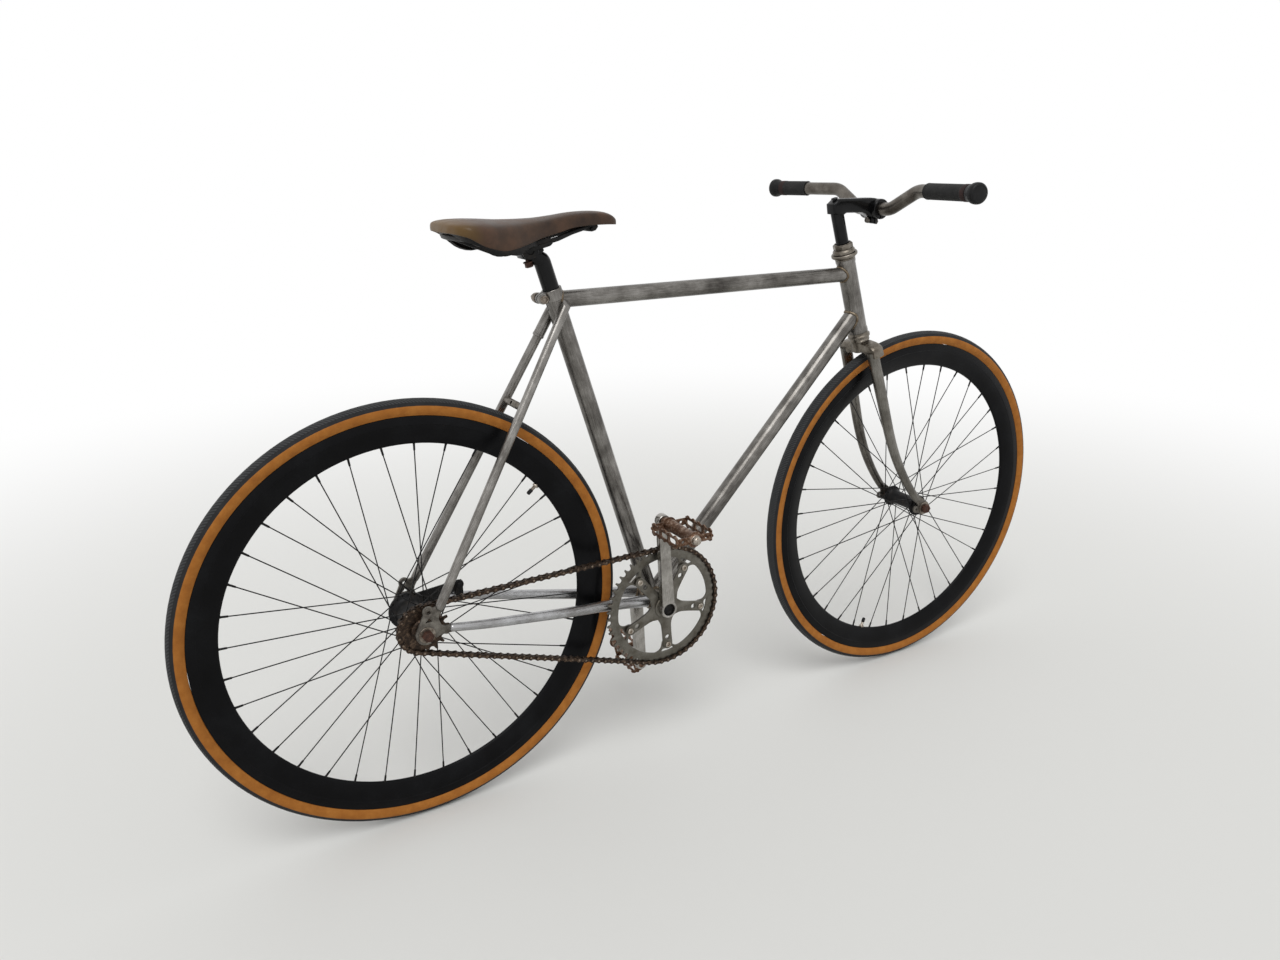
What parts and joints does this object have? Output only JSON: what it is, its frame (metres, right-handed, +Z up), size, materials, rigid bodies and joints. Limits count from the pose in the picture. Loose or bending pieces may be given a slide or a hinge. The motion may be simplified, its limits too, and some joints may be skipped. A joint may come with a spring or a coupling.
{
  "type": "bicycle",
  "caption": "Single-speed road bicycle with a coaster-brake rear hub: bare steel diamond frame, raked fork, riser bar, chain drive and a leather saddle.",
  "frame": {"origin": "on the ground, midway between the ends of the two tyres, in the bicycle's middle plane", "axes": "+X forward, +Y to the rider's left, +Z up; the chain is on the -Y side"},
  "size_m": [1.6864, 0.517, 0.9565],
  "materials": {
    "raw_steel": "bare brazed steel tube, brushed and mottled",
    "plated_steel": "plated steel",
    "rusty_steel": "steel with surface rust",
    "black_steel": "blackened steel",
    "black_alloy": "black anodised aluminium",
    "cast_alloy": "matt forged aluminium",
    "polished_alloy": "polished forged aluminium",
    "chain_steel": "oily brown chain steel",
    "tyre_rubber": "black tyre with worn tread",
    "grip_rubber": "matt black rubber",
    "black_plastic": "matt black plastic",
    "leather": "worn brown leather"
  },
  "bodies": {
    "frame": {"head_tube": "raw_steel", "top_tube": "raw_steel", "seat_tube": "raw_steel", "down_tube": "raw_steel", "bottom_bracket_shell": "raw_steel", "chainstay_right": "raw_steel", "chainstay_left": "raw_steel", "seatstay_right": "raw_steel", "seatstay_left": "raw_steel", "brake_bridge": "raw_steel", "dropout_right": "raw_steel", "dropout_left": "raw_steel", "seat_binder_bolt": "rusty_steel", "upper_headset_cup": "raw_steel", "lower_headset_cup": "raw_steel", "bb_cup_right": "plated_steel", "bb_cup_left": "plated_steel", "rear_axle": "rusty_steel", "rear_axle_nut_right": "rusty_steel", "rear_axle_nut_left": "rusty_steel", "brake_arm": "black_steel", "brake_arm_clip": "plated_steel", "chain": "chain_steel"},
    "seatpost": {"seatpost": "black_alloy", "saddle_clamp": "black_steel", "saddle_clamp_bolt": "rusty_steel", "saddle_rails": "black_steel", "saddle_cover": "leather"},
    "fork": {"fork_crown": "raw_steel", "fork_blade_right": "raw_steel", "fork_blade_left": "raw_steel", "crown_race": "raw_steel", "headset_top_race": "raw_steel", "headset_locknut": "raw_steel", "front_axle": "rusty_steel", "front_axle_nut_right": "rusty_steel", "front_axle_nut_left": "rusty_steel"},
    "stem": {"stem": "black_alloy", "stem_expander_bolt": "black_steel", "stem_binder_bolt": "black_steel", "handlebar": "raw_steel", "grip_right": "grip_rubber", "grip_left": "grip_rubber", "bar_cap_right": "black_plastic", "bar_cap_left": "black_plastic"},
    "front_wheel": {"front_hub": "black_alloy", "front_rim": "black_alloy", "front_tyre": "tyre_rubber"},
    "rear_wheel": {"rear_hub": "black_alloy", "rear_rim": "black_alloy", "rear_tyre": "tyre_rubber"},
    "driver": {"drive_cog": "black_steel"},
    "cranks": {"bb_spindle": "plated_steel", "crank_right": "polished_alloy", "crank_left": "polished_alloy", "chainring": "cast_alloy", "pedal_spindle_right": "rusty_steel", "pedal_spindle_left": "rusty_steel"},
    "right_pedal": {"pedal_right": "rusty_steel"},
    "left_pedal": {"pedal_left": "rusty_steel"}
  },
  "joints": [
    {"name": "steering", "type": "hinge", "parent": "frame", "child": "fork", "pos_m": [0.35295, 0, 0.69476], "axis": [-0.2924, 0, 0.9563], "range_deg": [-90, 90]},
    {"name": "stem_height", "type": "slide", "parent": "fork", "child": "stem", "axis": [-0.2924, 0, 0.9563], "range_m": [-0.025, 0.03]},
    {"name": "seatpost_height", "type": "slide", "parent": "frame", "child": "seatpost", "axis": [-0.2924, 0, 0.9563], "range_m": [-0.028, 0.075]},
    {"name": "front_wheel_spin", "type": "hinge", "parent": "fork", "child": "front_wheel", "pos_m": [0.50324, 0, 0.34], "axis": [0, 1, 0], "continuous": true},
    {"name": "rear_wheel_spin", "type": "hinge", "parent": "frame", "child": "rear_wheel", "pos_m": [-0.50324, 0, 0.34], "axis": [0, 1, 0], "continuous": true},
    {"name": "crank_spin", "type": "hinge", "parent": "frame", "child": "cranks", "pos_m": [-0.08857, 0, 0.2745], "axis": [0, 1, 0], "continuous": true, "deforming": ["chain"]},
    {"name": "driver_spin", "type": "hinge", "parent": "frame", "child": "driver", "pos_m": [-0.50324, 0, 0.34], "axis": [0, 1, 0], "continuous": true},
    {"name": "pedal_right_spin", "type": "hinge", "parent": "cranks", "child": "right_pedal", "pos_m": [-0.10208, 0, 0.43894], "axis": [0, 1, 0], "continuous": true},
    {"name": "pedal_left_spin", "type": "hinge", "parent": "cranks", "child": "left_pedal", "pos_m": [-0.07505, 0, 0.11006], "axis": [0, 1, 0], "continuous": true}
  ],
  "couplings": [
    {"joint": "driver_spin", "follows": "crank_spin", "ratio": 2.8889}
  ]
}
